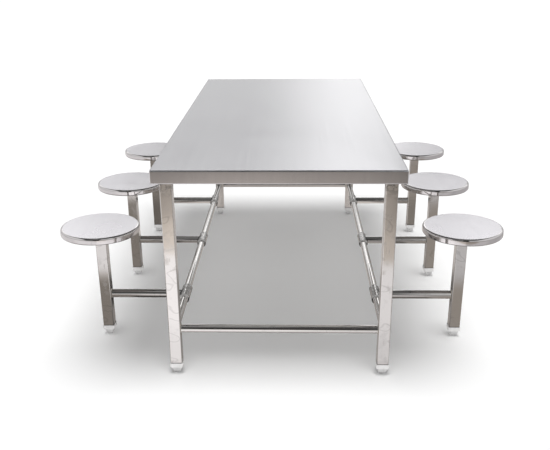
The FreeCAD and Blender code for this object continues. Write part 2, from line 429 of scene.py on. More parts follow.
def polished_steel(name, tint, shine, draw_stretch, wave_depth, dull_patches, shade_up_to=TUBE_SHADE_TOP,
                   scorched=0.0, water_marks=0.0):
    finish = new_finish(name)
    height = finish.place().split()[2]
    mottle = finish.noise(75.0, 4.0, twist=1.0).ramp(0.42, 0.54)
    # Painted shade: above a set height the head of each leg is darkened in mottled patches. On the
    # sleeves the same mottle is real heat tint.
    heat_tint_and_painted_shade = (height.ramp(HEAD_SHADE_FOOT, HEAD_SHADE_TOP) + scorched) * mottle
    # Painted shade: below a set height the colour is darkened, in a line where a tube enters its foot
    # and along the bottom of a seat's rim.
    painted_shade_below = 1 - height.ramp(shade_up_to - SHADE_LINE_SOFT, shade_up_to + SHADE_LINE_SOFT)
    pools = finish.noise(20.0, 1.0, (0.6, 0.6, 1.0), (0.35, 0.25, 0))
    water_mark = pools.ramp(0.600, 0.630) * (1 - pools.ramp(0.630, 0.660)) * water_marks
    smudges = finish.noise(26.0, 4.0, twist=0.8).ramp(0.50, 0.72)
    specks = finish.noise(420.0, 2.0).ramp(0.60, 0.75)
    draw_lines = finish.noise(1200.0, 1.0, draw_stretch)
    waves = finish.noise(7.0, 1.0)
    scratch_lines = finish.noise(220.0, 1.0, (1.0, 1.0, 0.06), (0.7, 0.5, 0))
    scratches = scratch_lines.ramp(0.66, 0.70) * finish.noise(22.0).ramp(0.54, 0.64)
    dull = (smudges * dull_patches + specks * 0.05 + draw_lines * 0.03 + scratches * 0.12
            + heat_tint_and_painted_shade * 0.14)
    darker = [part * 0.35 for part in tint]
    # The darker colour mixes real smudges, scratches, water marks and heat tint with painted shade at
    # the leg heads, the tube feet and the rim bottoms.
    marks_and_painted_shade = (smudges * 0.10 + specks * 0.07 + scratches * 0.24 + heat_tint_and_painted_shade * 0.55 + painted_shade_below
            + water_mark * 0.20)
    relief = finish.bump(draw_lines * 0.6 + scratches, 0.003 * MM,
                         finish.bump(waves, wave_depth))
    return finish.surface(Base_Color=finish.colour(tint, darker, marks_and_painted_shade), Metallic=1.0,
                          Roughness=dull + shine, Normal=relief)


TUBE_TINT = (0.66, 0.645, 0.63)
RIM_TINT = (0.64, 0.62, 0.62)
SLEEVE_TINT = (0.56, 0.55, 0.54)
# Upright tube carries painted shade at the head of each leg and just above each foot.
upright_tube = polished_steel("polished_upright_tube", TUBE_TINT, 0.08, (1, 1, 0.01), 0.5 * MM, 0.14,
                              water_marks=1.0)
lying_tube = polished_steel("polished_lying_tube", TUBE_TINT, 0.05, (0.03, 0.03, 1), 0.1 * MM, 0.08)
sleeve_tube = polished_steel("scorched_sleeve", SLEEVE_TINT, 0.12, (0.03, 0.03, 1), 0.2 * MM, 0.16,
                             scorched=1.0)
# The rim is darkened along its bottom as painted shade.
seat_rim = polished_steel("polished_seat_rim", RIM_TINT, 0.04, (1, 1, 0.05), 0.2 * MM, 0.08,
                          shade_up_to=RIM_SHADE_TOP)
print("polished finishes:", upright_tube.name, lying_tube.name, seat_rim.name)

# %% [markdown]
# ## Welds, hidden steel, plastic and board
#
# A weld bead is left dull and slightly straw-coloured by its heat. The one between an arm and its
# sleeve is coloured nearly black: painted shade, for the shadow in the corner where they meet. The
# bearers under the board are plain mill steel, never polished, because nobody sees them. The feet
# are milky moulded plastic, with painted shade low on each bowl, and the sleeve bushes black nylon,
# with a painted highlight on top. The board is chipboard with a white face on both sides, so its
# chips only show round its cut edge. Each has its own small detail: ripples, mill scale, moulding
# grain or chips.

# %% Weld and mill finishes
def weld_steel(name, dark, light):
    finish = new_finish(name)
    heat = finish.noise(90.0, 3.0)
    pits = finish.noise(900.0, 2.0)
    tone = finish.colour(dark, light, heat.ramp(0.35, 0.7))
    return finish.surface(Base_Color=tone, Metallic=1.0, Roughness=heat * 0.15 + 0.25,
                          Normal=finish.bump(pits, 0.05 * MM))


def mill_steel(name, dark, light, roughness):
    finish = new_finish(name)
    scale_marks = finish.noise(35.0, 4.0, twist=0.5)
    rolled = finish.noise(500.0, 2.0, (0.03, 0.03, 1.0))
    tone = finish.colour(dark, light, scale_marks.ramp(0.3, 0.7))
    return finish.surface(Base_Color=tone, Metallic=1.0,
                          Roughness=scale_marks * 0.15 + rolled * 0.06 + roughness,
                          Normal=finish.bump(rolled, 0.01 * MM))


def turned_steel():
    """Fine tool rings left on the bolt and screw heads."""
    finish = new_finish("turned_bolt_steel")
    rings = finish.noise(1500.0, 1.0, (0.2, 0.2, 1.0))
    stain = finish.noise(60.0)
    tone = finish.colour((0.50, 0.50, 0.51), (0.66, 0.66, 0.67), stain)
    return finish.surface(Base_Color=tone, Metallic=1.0, Roughness=rings * 0.1 + 0.2,
                          Normal=finish.bump(rings, 0.01 * MM))


weld = weld_steel("brushed_weld", (0.40, 0.385, 0.37), (0.58, 0.54, 0.47))
# Nearly black: painted shade in the corner where an arm meets its sleeve, on a real weld bead.
weld_in_painted_shade = weld_steel("blackened_weld", (0.05, 0.05, 0.05), (0.17, 0.165, 0.16))
mill = mill_steel("mill_finish_bearer", (0.42, 0.42, 0.43), (0.56, 0.56, 0.57), 0.38)
underside = mill_steel("unpolished_seat_base", (0.52, 0.52, 0.53), (0.66, 0.66, 0.67), 0.30)
bolt = turned_steel()
print("steel without polish:", weld.name, weld_in_painted_shade.name, mill.name, underside.name, bolt.name)

# %% Plastic and board finishes
# Heights of painted light on plastic: painted shade low on the bowl of a foot, and a painted highlight
# on top of a bush.
BOWL_PAINTED_SHADE = (0.014, 0.027)
BUSH_PAINTED_HIGHLIGHT = (rail_axis.z + 0.002, rail_axis.z + 0.012)


def moulded_plastic(name, dark, light, roughness, glow, gloss=0.5, painted_light_tone=None, on_top=False):
    """An extra tone is painted light: painted shade low on the bowl of a foot, and with on_top a
    painted highlight on top of a bush.
    """
    finish = new_finish(name)
    cloud = finish.noise(55.0, 3.0)
    grain = finish.noise(1400.0, 2.0)
    scuff = finish.noise(240.0, 3.0, (1, 1, 0.3)).ramp(0.58, 0.72)
    tone = finish.colour(light, dark, cloud * 0.5 + scuff * 0.5)
    # Painted light: low on the bowl of a foot the colour is darkened as painted shade, and on top of a
    # bush it is lightened as a painted highlight.
    if painted_light_tone:
        height = finish.place().split()[2]
        where = height.ramp(*BUSH_PAINTED_HIGHLIGHT) if on_top else 1 - height.ramp(*BOWL_PAINTED_SHADE)
        tone = finish.colour(tone, painted_light_tone, where * (cloud * 0.3 + 0.7))
    return finish.surface(Base_Color=tone, Roughness=grain * 0.1 + scuff * 0.2 + roughness,
                          Subsurface_Weight=glow, Subsurface_Radius=(0.01, 0.01, 0.01),
                          Specular_IOR_Level=gloss,
                          Normal=finish.bump(grain, 0.02 * MM))


def chipboard():
    finish = new_finish("white_faced_chipboard")
    chips = finish.node("ShaderNodeTexVoronoi", {"feature": "F1"},
                        {"Vector": finish.place((1.0, 0.45, 1.0)), "Scale": 260.0}, output=1)
    shade = finish.node("ShaderNodeSeparateColor", None, {"Color": chips})
    resin = finish.noise(40.0, 4.0)
    chip_tone = finish.colour((0.34, 0.25, 0.16), (0.66, 0.53, 0.36), shade * 0.7 + resin * 0.3)
    face_tone = finish.colour((0.54, 0.53, 0.51), (0.64, 0.63, 0.61), resin)
    cut_edge = 1 - abs(finish.facing_up()).ramp(0.4, 0.6)
    tone = finish.colour(face_tone, chip_tone, cut_edge)
    return finish.surface(Base_Color=tone, Roughness=resin * 0.2 + cut_edge * 0.3 + 0.3,
                          Normal=finish.bump(shade * cut_edge, 0.12 * MM))


# The foot's bowl is darkened low down as painted shade.
white_plastic = moulded_plastic("milky_foot_plastic", (0.66, 0.65, 0.64), (0.84, 0.83, 0.83), 0.30,
                                0.15, painted_light_tone=(0.56, 0.56, 0.56))
# The bush is lightened on top as a painted highlight.
black_nylon = moulded_plastic("black_bush_nylon", (0.006, 0.006, 0.007), (0.016, 0.016, 0.017), 0.42,
                              0.0, 0.2, painted_light_tone=(0.58, 0.57, 0.56), on_top=True)
white_nylon = moulded_plastic("white_washer_nylon", (0.70, 0.70, 0.67), (0.86, 0.86, 0.82), 0.45, 0.1)
board = chipboard()
print("plastic and board:", white_plastic.name, black_nylon.name, white_nylon.name, board.name)

# %% [markdown]
# ## The table top
#
# The top is one sheet, folded down on all four sides, with a narrow hem turned in under each
# lip. It could be a box with bevels, but then the inside, which shows from below, would be
# wrong. So the section through the edge is drawn once, outside and inside, and each point of it
# becomes a ring round the table. A hand-folded lip is never dead straight, so each ring is drawn
# in by a fraction of a millimetre of slow noise.

# %% Fold the pan
top_low, top_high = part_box("tabletop_sheet")
top_half = (top_high - top_low) / 2
FLAT_INSET = 45 * MM
POINTS_ALONG = 40
EDGE_WANDER = 0.55 * MM
WANDER_ALONG = 2.3
WANDER_UP = 9


def fold_ring(inset, height):
    """A rectangle round the table at this inset, its corners as round as the fold there."""
    outline = rectangle(top_half.x - inset, top_half.y - inset, max(TOP_BEND - inset, 0.0))
    ring = []
    for index, point in enumerate(outline):
        ahead = outline[(index + 1) % len(outline)]
        steps = POINTS_ALONG if (index + 1) % (ARC_STEPS + 1) == 0 else 1
        for step in range(steps):
            flat = point.lerp(ahead, step / steps)
            slow = noise.noise(Vector((flat.x * WANDER_ALONG, flat.y * WANDER_ALONG,
                                       height * WANDER_UP)))
            near_edge = 1.0 if inset < FLAT_INSET / 2 else 0.0
            drawn_in = 1 - near_edge * EDGE_WANDER * (0.5 + 0.5 * slow) / top_half.x
            ring.append(Vector((flat.x * drawn_in, flat.y * drawn_in, height)))
    return ring


edge_section = rounded([
    (FLAT_INSET, top_high.z, 0), (0, top_high.z, TOP_BEND), (0, top_low.z, HEM_BEND),
    (TOP_HEM, top_low.z, 0), (TOP_HEM, top_low.z + SHEET, 0),
    (SHEET, top_low.z + SHEET, HEM_BEND - SHEET), (SHEET, top_high.z - SHEET, TOP_BEND - SHEET),
    (FLAT_INSET, top_high.z - SHEET, 0)])
pan_mesh = skin([fold_ring(inset, height) for inset, height in edge_section])
piece("tabletop_pan", pan_mesh, "table", satin_top, ["tabletop_sheet"])
report("table top")

# %% [markdown]
# ## Legs, crossbars and rails
#
# The legs are square tube with a small corner radius. The two crossbars and the two side rails
# are round tube, welded in between the legs. Each rail carries six stop rings that keep the
# sleeves in place. Tube ends are all closed by a weld, so a plain skin from end to end is true
# to what can be seen. Around each round joint lies a small weld bead.

# %% Square and round members
def square_ring(side, corner, height):
    return [Vector((point.x, point.y, height)) for point in rectangle(side / 2, side / 2, corner)]


def square_tube(side, corner, low, high, edge=0.0):
    """An upright square tube. An edge above 0 rounds its top."""
    rings = [square_ring(side, corner, low)]
    for step in range(ARC_STEPS + 1):
        turn = pi / 2 * step / ARC_STEPS
        inset = edge * (1 - cos(turn))
        rings.append(square_ring(side - 2 * inset, max(corner - inset, 0.1 * MM),
                                 high - edge * (1 - sin(turn))))
    return skin(rings)


def lying(axis, centre):
    """Lay a shape that was turned about Z along X or Y, with its origin at centre."""
    turn = Matrix.Rotation(pi / 2, 4, "Y") if axis == "X" else Matrix.Rotation(-pi / 2, 4, "X")
    return Matrix.Translation(centre) @ turn


leg_side = leg_size.x
leg_spots = {side_name + "_" + end_name:
             Matrix.Translation((side * leg_centre.x, end * leg_centre.y, 0))
             for side_name, side in SIDES.items() for end_name, end in ENDS.items()}
for corner, spot in leg_spots.items():
    low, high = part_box("leg_" + corner)
    piece("leg_" + corner + "_tube", square_tube(leg_side, TUBE_CORNER, low.z, high.z), "table",
          upright_tube, ["leg_" + corner], spot)
report("legs")

# %% Welds and crossbars
BEAD = 3.0 * MM
BEAD_ROOT = 0.2 * MM
BEAD_RIPPLES = 44
BEAD_SWELL = 0.14
TURN_BACK = Matrix.Rotation(pi, 4, "X")
bar_radius = bar_size.z / 2


def ring_bead(radius):
    """A weld bead in the corner between a round tube, along Z, and a flat face at 0."""
    profile = []
    for step in range(ARC_STEPS + 1):
        turn = pi / 2 * step / ARC_STEPS
        profile.append((radius + BEAD * (1 - sin(turn)), BEAD * (1 - cos(turn))))
    profile += [(radius - BEAD_ROOT, BEAD), (radius - BEAD_ROOT, -BEAD_ROOT),
                (radius + BEAD, -BEAD_ROOT)]
    mesh = lathe(profile, steps=BEAD_RIPPLES * 4)
    for point in mesh.verts:
        ripple = sin(BEAD_RIPPLES * atan2(point.co.y, point.co.x))
        if point.co.z > 0:
            point.co.xy *= 1 + BEAD_SWELL * BEAD / radius * ripple
    return mesh


def weld_ends(name, axis, middle, to_end, ends):
    """A bead round both ends of a tube that lies along an axis."""
    for end_name, end in ends.items():
        place = lying(axis, middle + to_end * end)
        piece(name + "_" + end_name, ring_bead(bar_radius), "table", weld, (),
              place @ TURN_BACK if end > 0 else place)


for end_name, end in ENDS.items():
    node = "crossbar_" + end_name
    bar_mesh = lathe([(0, -bar_size.x / 2), (bar_radius, -bar_size.x / 2),
                      (bar_radius, bar_size.x / 2), (0, bar_size.x / 2)], closed=False)
    bar_place = Vector((0, end * leg_centre.y, bar_centre.z))
    piece(node + "_tube", bar_mesh, "table", lying_tube, [node],
          lying("X", bar_place))
    weld_ends("weld_" + node, "X", bar_place, Vector((bar_size.x / 2, 0, 0)), SIDES)
report("crossbars")

# %% Rails with their stop rings
STOP_RING_RADIUS = rail_size.x / 2
STOP_RING_WIDTH = 4 * MM
END_GAP = 0.5 * MM
STOP_EDGE = 0.6 * MM
bush_size = centre_and_size("sleeve_bushes_right_middle")[1]


def rail_profile():
    """(radius, height along the rail), with a stop ring at each end of each sleeve."""
    profile = [(0, -rail_size.y / 2), (bar_radius, -rail_size.y / 2)]
    for row in ROWS:
        row_y = turn_axis("stool_fold_right_" + row).y
        for end in (-1, 1):
            near = row_y + end * (bush_size.y / 2 + END_GAP)
            far = near + end * STOP_RING_WIDTH
            low, high = min(near, far), max(near, far)
            profile += [(bar_radius, low), (STOP_RING_RADIUS - STOP_EDGE, low),
                        (STOP_RING_RADIUS, low + STOP_EDGE), (STOP_RING_RADIUS, high - STOP_EDGE),
                        (STOP_RING_RADIUS - STOP_EDGE, high), (bar_radius, high)]
    return profile + [(bar_radius, rail_size.y / 2), (0, rail_size.y / 2)]


for side_name, side in SIDES.items():
    node = "side_rail_" + side_name
    rail_place = Vector((side * rail_centre.x, 0, rail_centre.z))
    piece(node + "_tube", lathe(rail_profile(), closed=False), "table", lying_tube,
          [node], lying("Y", rail_place))
    weld_ends("weld_rail_" + side_name, "Y", rail_place, Vector((0, rail_size.y / 2, 0)), ENDS)
report("rails")

# %% [markdown]
# ## Feet
#
# Each foot is one plastic moulding: a square collar round the end of the tube, over a round bowl
# that narrows to a small flat sole. Its rings start as circles for the bowl and end as squares
# for the collar. Every ring is made from the same square outline, pulled in to a circle where it
# must be one, so the two kinds join point for point. Two more rings make the collar's mouth.

# %% Mould the feet
foot_size = centre_and_size("post_foot_right_middle")[1]
COLLAR_TOP = foot_size.z
POCKET_FLOOR = post_centre.z - post_size.z / 2
COLLAR_FOOT = 24 * MM
BOWL_RADIUS = 20 * MM
SOLE_RADIUS = 10 * MM
COLLAR_CORNER = 5.5 * MM
COLLAR_EDGE = 1.0 * MM
MOUTH_CHAMFER = 1.2 * MM
BOWL_RINGS = 12


def round_ring(radius, height):
    """A circle with as many points as a square ring has, in the same directions."""
    outline = square_ring(foot_size.x, COLLAR_CORNER, 0)
    return [point.normalized() * radius + Vector((0, 0, height)) for point in outline]


def foot_mesh():
    bowl_depth = sqrt(BOWL_RADIUS ** 2 - SOLE_RADIUS ** 2)
    whole_turn = asin(bowl_depth / BOWL_RADIUS)
    rings = []
    for step in range(BOWL_RINGS + 1):
        turn = whole_turn * (1 - step / BOWL_RINGS)
        rings.append(round_ring(BOWL_RADIUS * cos(turn), bowl_depth - BOWL_RADIUS * sin(turn)))
    rings.append(round_ring(BOWL_RADIUS, COLLAR_FOOT))
    side = foot_size.x
    for inset, height in ((COLLAR_EDGE, COLLAR_FOOT), (0, COLLAR_FOOT + COLLAR_EDGE),
                          (0, COLLAR_TOP - COLLAR_EDGE), (COLLAR_EDGE / 2, COLLAR_TOP)):
        rings.append(square_ring(side - 2 * inset, COLLAR_CORNER - inset, height))
    mouth = leg_side + MOUTH_CHAMFER
    rings.append(square_ring(mouth, TUBE_CORNER + MOUTH_CHAMFER / 2, COLLAR_TOP))
    rings.append(square_ring(leg_side, TUBE_CORNER, COLLAR_TOP - MOUTH_CHAMFER))
    rings.append(square_ring(leg_side, TUBE_CORNER, POCKET_FLOOR))
    return skin(rings)


for corner, spot in leg_spots.items():
    piece("leg_foot_" + corner, foot_mesh(), "table", white_plastic, ["leg_feet"],
          spot)
report("leg feet")

# %% [markdown]
# ## The stools
#
# All six stools are alike, so each piece is made once, with the rail's axis over the origin and
# the seat out along X, and is then turned and moved into place. A stool is: a sleeve that turns
# on the rail, an arm welded into its side, a square post with a capped head, a foot, and the
# seat on its swivel.

# %% Where each stool stands
def stool_place(side_name, row):
    """From a stool drawn along +X over the origin to where it stands."""
    axis = turn_axis("stool_fold_" + side_name + "_" + row)
    turn = Matrix.Rotation(pi if side_name == "left" else 0.0, 4, "Z")
    return Matrix.Translation((axis.x, axis.y, 0)) @ turn


def for_each_stool(name, make, finish, rides="stool_", stands_for=()):
    """One copy of a piece on every stool."""
    for side_name, row in stool_spots:
        tail = side_name + "_" + row
        nodes = [node + "_" + tail for node in stands_for]
        piece(name + "_" + tail, make(), rides + tail, finish, nodes,
              stool_place(side_name, row))


seat_offset = Matrix.Translation((reach, 0, 0))
print("stools stand at", [tuple(round(v, 3) for v in stool_place(*spot).translation)
                          for spot in stool_spots])

# %% [markdown]
# ### Sleeve, bushes and arm
#
# The joint between arm and sleeve is a saddle: where two round tubes cross, the seam bows up and
# down as it goes round. A Boolean would make it, but leaves ragged faces that shade badly. Here
# the seam is worked out instead: at each turn round the arm, the arm starts where it meets the
# sleeve's curve. The weld bead follows the same seam, with a small ripple for each dab of weld.

# %% Sleeve and arm
ARM_RADIUS = 16 * MM
SLEEVE_RADIUS = bush_size.z / 2
SLEEVE_WALL = 2 * MM
BUSH_FLANGE = 5 * MM
BUSH_DEPTH = 18 * MM
RUNNING_GAP = 0.05 * MM
TUBE_EDGE = 0.5 * MM
SEAM_STEP = 1 * MM
sleeve_half = bush_size.y / 2 - BUSH_FLANGE
arm_end = reach - post_size.x / 2
on_rail = lying("Y", Vector((0, 0, rail_axis.z)))


def sleeve_mesh():
    bore = SLEEVE_RADIUS - SLEEVE_WALL
    return moved(lathe([
        (bore, -sleeve_half), (SLEEVE_RADIUS - TUBE_EDGE, -sleeve_half),
        (SLEEVE_RADIUS, -sleeve_half + TUBE_EDGE), (SLEEVE_RADIUS, sleeve_half - TUBE_EDGE),
        (SLEEVE_RADIUS - TUBE_EDGE, sleeve_half), (bore, sleeve_half)]), on_rail)


def on_sleeve(radius, turn):
    """The point of the sleeve's surface at this radius and turn about the arm's axis."""
    y = radius * cos(turn)
    z = max(-SLEEVE_RADIUS, min(radius * sin(turn), SLEEVE_RADIUS))
    return Vector((sqrt(max(SLEEVE_RADIUS ** 2 - z * z, 0)), y, z))


def arm_ring(distance, radius=ARM_RADIUS):
    """A ring round the arm, this far along it from the seam."""
    ring = []
    for step in range(ROUND_STEPS):
        turn = 2 * pi * step / ROUND_STEPS
        seam = on_sleeve(radius, turn)
        ring.append(Vector((seam.x + distance, seam.y, seam.z + rail_axis.z)))
    return ring


def arm_mesh():
    far = [Vector((arm_end, point.y, point.z)) for point in arm_ring(0)]
    straight = [Vector((SLEEVE_RADIUS + 2 * SEAM_STEP, point.y, point.z)) for point in far]
    return skin([arm_ring(-SEAM_STEP), arm_ring(SEAM_STEP), straight, far])


for_each_stool("arm_sleeve", sleeve_mesh, sleeve_tube, stands_for=["swing_arm"])
for_each_stool("arm_tube", arm_mesh, lying_tube, stands_for=["swing_arm"])
report("arms")

# %% Welds of the arm
SADDLE_STEPS = 7
SADDLE_RIPPLES = 46
SADDLE_FOOT = 0.9 * BEAD
SADDLE_LEAN = 0.5
SADDLE_SWELL = 0.25 * MM
SADDLE_DABS = 0.12 * MM


def saddle_bead_mesh():
    """A concave bead from the arm to the sleeve, along the saddle-shaped seam."""
    rings = []
    for along in range(SADDLE_STEPS + 1):
        share = along / SADDLE_STEPS
        ring = []
        for step in range(SADDLE_RIPPLES * 4):
            turn = 2 * pi * step / (SADDLE_RIPPLES * 4)
            corner = on_sleeve(ARM_RADIUS, turn)
            arm_side = corner + Vector((BEAD, 0, 0))
            sleeve_side = on_sleeve(ARM_RADIUS + SADDLE_FOOT, turn)
            point = arm_side.lerp(corner, share).lerp(corner.lerp(sleeve_side, share), share)
            outward = Vector((SADDLE_LEAN, cos(turn), sin(turn))).normalized()
            dabs = SADDLE_SWELL + SADDLE_DABS * sin(SADDLE_RIPPLES * turn)
            ring.append(point + outward * (sin(pi * share) * dabs) + Vector((0, 0, rail_axis.z)))
        rings.append(ring)
    return skin(rings, capped=False)


def post_bead_mesh():
    face = lying("X", Vector((arm_end, 0, rail_axis.z)))
    return moved(ring_bead(ARM_RADIUS), face @ TURN_BACK)


# The bead between arm and sleeve is nearly black as painted shade.
for_each_stool("weld_arm_to_sleeve", saddle_bead_mesh, weld_in_painted_shade)
for_each_stool("weld_arm_to_post", post_bead_mesh, weld)
report("arm welds")

# %% Bushes
def bush_mesh():
    """Both bushes of a sleeve, each with its flange outside the sleeve's end."""
    bore = bar_radius + RUNNING_GAP
    barrel = SLEEVE_RADIUS - SLEEVE_WALL
    outer = bush_size.y / 2
    inner = outer - BUSH_FLANGE
    profile = rounded([(bore, outer, 0.4 * MM), (SLEEVE_RADIUS, outer, 0.6 * MM),
                       (SLEEVE_RADIUS, inner, 0.1 * MM), (barrel, inner, 0.1 * MM),
                       (barrel, inner - BUSH_DEPTH, 0.3 * MM), (bore, inner - BUSH_DEPTH, 0.3 * MM)])
    mesh = lathe(profile)
    bmesh.ops.mirror(mesh, geom=mesh.verts[:] + mesh.edges[:] + mesh.faces[:], axis="Z",
                     matrix=Matrix(), merge_dist=0)
    return moved(mesh, on_rail)


for_each_stool("nylon_bushes", bush_mesh, black_nylon, stands_for=["sleeve_bushes"])
report("bushes")

# %% [markdown]
# ### Post and foot
#
# The post is the same square tube as the legs. A plate closes its head, welded on and ground
# flush, so all that shows is a softly rounded top edge.

# %% Post and its foot
HEAD_EDGE = 1.0 * MM


def post_mesh():
    low = post_centre.z - post_size.z / 2
    mesh = square_tube(post_size.x, TUBE_CORNER, low, low + post_size.z, HEAD_EDGE)
    return moved(mesh, seat_offset)


def post_foot_mesh():
    return moved(foot_mesh(), seat_offset)


for_each_stool("post_tube", post_mesh, upright_tube, stands_for=["post"])
for_each_stool("post_foot_moulding", post_foot_mesh, white_plastic,
               stands_for=["post_foot"])
report("posts")

# %% [markdown]
# ### Seat
#
# A seat is a shallow pan, spun from a disc of sheet: flat on top, a soft round at the edge, a
# mirror-bright rim, and a tighter curl turned in underneath that grips the base disc. The rim is
# polished and the top is satin, so the faces of the rim get their own finish. Under the base
# disc sits the swivel hub with its weld.

# %% Spin the seat
seat_radius = pan_size.x / 2
seat_top = pan_centre.z + pan_size.z / 2
seat_bottom = pan_centre.z - pan_size.z / 2
BASE_SHEET = 1.5 * MM
HUB_RADIUS = 22 * MM
HUB_FLANGE_RADIUS = 55 * MM
HUB_FLANGE = 4 * MM
HUB_BORE = 10.05 * MM
HEAD_HOLE = 20 * MM
FINE_STEPS = 128
RIM_START = 0.01 * SEAT_EDGE


def seat_pan_mesh():
    inside = seat_radius - SHEET
    mouth = seat_radius - SEAT_CURL
    profile = rounded([
        (seat_radius, seat_top, SEAT_EDGE), (seat_radius, seat_bottom, SEAT_FOLD),
        (mouth, seat_bottom, 0), (mouth, seat_bottom + SHEET, 0),
        (inside, seat_bottom + SHEET, SEAT_FOLD - SHEET), (inside, seat_top - SHEET, SEAT_EDGE - SHEET),
        (0, seat_top - SHEET, 0), (0, seat_top, 0)])
    return moved(lathe(profile, steps=FINE_STEPS), seat_offset)


def seat_base_mesh():
    disc_low = seat_bottom + SHEET
    flange_low = disc_low - HUB_FLANGE
    hub_low = base_centre.z - base_size.z / 2
    disc_radius = base_size.x / 2
    profile = rounded([
        (HEAD_HOLE, disc_low + BASE_SHEET, 0), (disc_radius, disc_low + BASE_SHEET, 0),
        (disc_radius, disc_low, 0), (HUB_FLANGE_RADIUS, disc_low, 0),
        (HUB_FLANGE_RADIUS, flange_low, 0.8 * MM), (HUB_RADIUS, flange_low, 2.5 * MM),
        (HUB_RADIUS, hub_low, 0.6 * MM), (HUB_BORE, hub_low, 0.4 * MM),
        (HUB_BORE, disc_low, 0), (HEAD_HOLE, disc_low, 0)])
    return moved(lathe(profile, steps=FINE_STEPS), seat_offset)


for_each_stool("seat_top_pan", seat_pan_mesh, satin_seat, "seat_", ["seat_pan"])
for_each_stool("seat_base_disc", seat_base_mesh, underside, "seat_",
               ["seat_base"])
for made in made_pieces:
    if made.name.startswith("seat_top_pan"):
        made.data.materials.append(seat_rim)
        for face in made.data.polygons:
            if face.center.z < seat_top - RIM_START:
                face.material_index = 1
report("seats")

# %% [markdown]
# ## What stays from the frame
#
# The board, the bearers, the pivot bolts and the washers are hidden or seen only from below, and
# their solids already have the right shape. They keep their mesh and get a finish. The bearers
# also get a small bevel, because real square tube has soft corners.

# %% Finish the hidden nodes
KEPT = {"tabletop_board": board, "underframe": mill, "pivot_bolt": bolt, "thrust_washer": white_nylon}
for node_name, node in frame["nodes"].items():
    for start, finish in KEPT.items():
        if node_name.startswith(start):
            node.data.materials.clear()
            node.data.materials.append(finish)

bearers = frame["nodes"]["underframe"]
welded = bearers.modifiers.new("weld_seams", "WELD")
welded.merge_threshold = MERGE_REACH
softened = bearers.modifiers.new("soft_corners", "BEVEL")
softened.width = 1.2 * MM
softened.segments = 2
softened.limit_method = "ANGLE"
softened.angle_limit = radians(60)
print("kept", sum(name.startswith(tuple(KEPT)) for name in frame["nodes"]), "nodes of the frame")

# %% [markdown]
# ## Screws under the top
#
# The board is screwed down on the bearers from below, so that the top could really be taken off.
# The heads are plain hexagons on a round flange, four along each of the three middle bearers.

# %% Screws
SCREW_FLANGE = 6.5 * MM
FLANGE_EDGE = 0.5 * MM
FLANGE_DEPTH = 1.2 * MM
SCREW_HEX = 4.6 * MM
HEX_RINGS = ((-1.0 * MM, 1.0), (-3.6 * MM, 1.0), (-4.0 * MM, 0.9))
SCREW_SPOTS = (-0.8, -0.3, 0.3, 0.8)
bearer_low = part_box("underframe")[0].z


def screw_mesh():
    """A hexagon head on a thin flange, hanging down from the face at 0."""
    mesh = lathe([(0, 0), (SCREW_FLANGE, 0), (SCREW_FLANGE, -FLANGE_EDGE),
                  (SCREW_FLANGE * 0.8, -FLANGE_DEPTH), (0, -FLANGE_DEPTH)], steps=32, closed=False)
    head = skin([[Vector((SCREW_HEX * size * cos(k * pi / 3), SCREW_HEX * size * sin(k * pi / 3),
                          height)) for k in range(6)] for height, size in HEX_RINGS])
    temporary = bpy.data.meshes.new("screw_head")
    head.to_mesh(temporary)
    head.free()
    mesh.from_mesh(temporary)
    bpy.data.meshes.remove(temporary)
    return mesh


bearer_rows = [-leg_centre.y / 2, 0.0, leg_centre.y / 2]
for number, row_y in enumerate(bearer_rows):
    for share in SCREW_SPOTS:
        spot = Matrix.Translation((leg_centre.x * share, row_y, bearer_low))
        piece("board_screw_%d_%s" % (number + 1, str(share).replace(".", "_").replace("-", "m")),
              screw_mesh(), "table", bolt, (), spot)
report("screws")

# %% [markdown]
# ## The studio
#
# The table stands on a plain white floor in soft light. The floor is one-sided: it is clear from
# below, so that the underside of the table can be looked at. One broad lamp hangs overhead, and
# white low walls light the floor and the feet from all round. A card that only the lamp sees
# hangs over the table and widens its soft shadow on the floor, as a flag does in a studio. The
# seats and the low tubes cast no shadow of the lamp, as if smaller lamps had filled it in, and a
# half-clear veil under each leg's foot deepens the shade where the foot meets the floor.
#
# What the eye sees in polished steel, though, is the room. So the room is made of two parts that
# only reflections see. They light nothing else.

# %% Floor, lamp and shadow card
def flat_sheet(name, half_x, half_y, centre):
    """A level sheet that belongs to the studio and not to the table."""
    mesh = bmesh.new()
    corners = [(-half_x, -half_y), (half_x, -half_y), (half_x, half_y), (-half_x, half_y)]
    mesh.faces.new([mesh.verts.new(Vector((x, y, 0)) + Vector(centre)) for x, y in corners])
    made = new_object(name, mesh)
    made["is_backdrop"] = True
    return made


def hide_from(made, *rays):
    """Let these kinds of light ray miss an object."""
    for ray in rays:
        setattr(made, "visible_" + ray, False)


FLOOR_WHITE = 0.92
FLOOR_REACH = 30
floor = flat_sheet("studio_floor", FLOOR_REACH, FLOOR_REACH, (0, 0, 0))
paint = new_finish("white_studio_floor")
faint = paint.noise(1.5)
back_of_sheet = paint.node("ShaderNodeNewGeometry", output=6)
floor.data.materials.append(paint.surface(
    clear=back_of_sheet, Specular_IOR_Level=0.0, Roughness=faint * 0.1 + 0.8,
    Base_Color=paint.colour([FLOOR_WHITE] * 3, [FLOOR_WHITE * 0.99] * 3, faint)))
hide_from(floor, "glossy")

LAMP_WIDTH = radians(25)
LAMP_STRENGTH = 2.2
LAMP_TILT = (radians(4), radians(2), 0)
lamp_data = bpy.data.lights.new("broad_overhead_lamp", "SUN")
lamp_data.angle = LAMP_WIDTH
lamp_data.energy = LAMP_STRENGTH
lamp = bpy.data.objects.new("broad_overhead_lamp", lamp_data)
lamp.rotation_euler = LAMP_TILT
bpy.context.scene.collection.objects.link(lamp)
hide_from(lamp, "glossy")
print("the floor is", 2 * FLOOR_REACH, "m wide and the lamp's strength is", LAMP_STRENGTH)

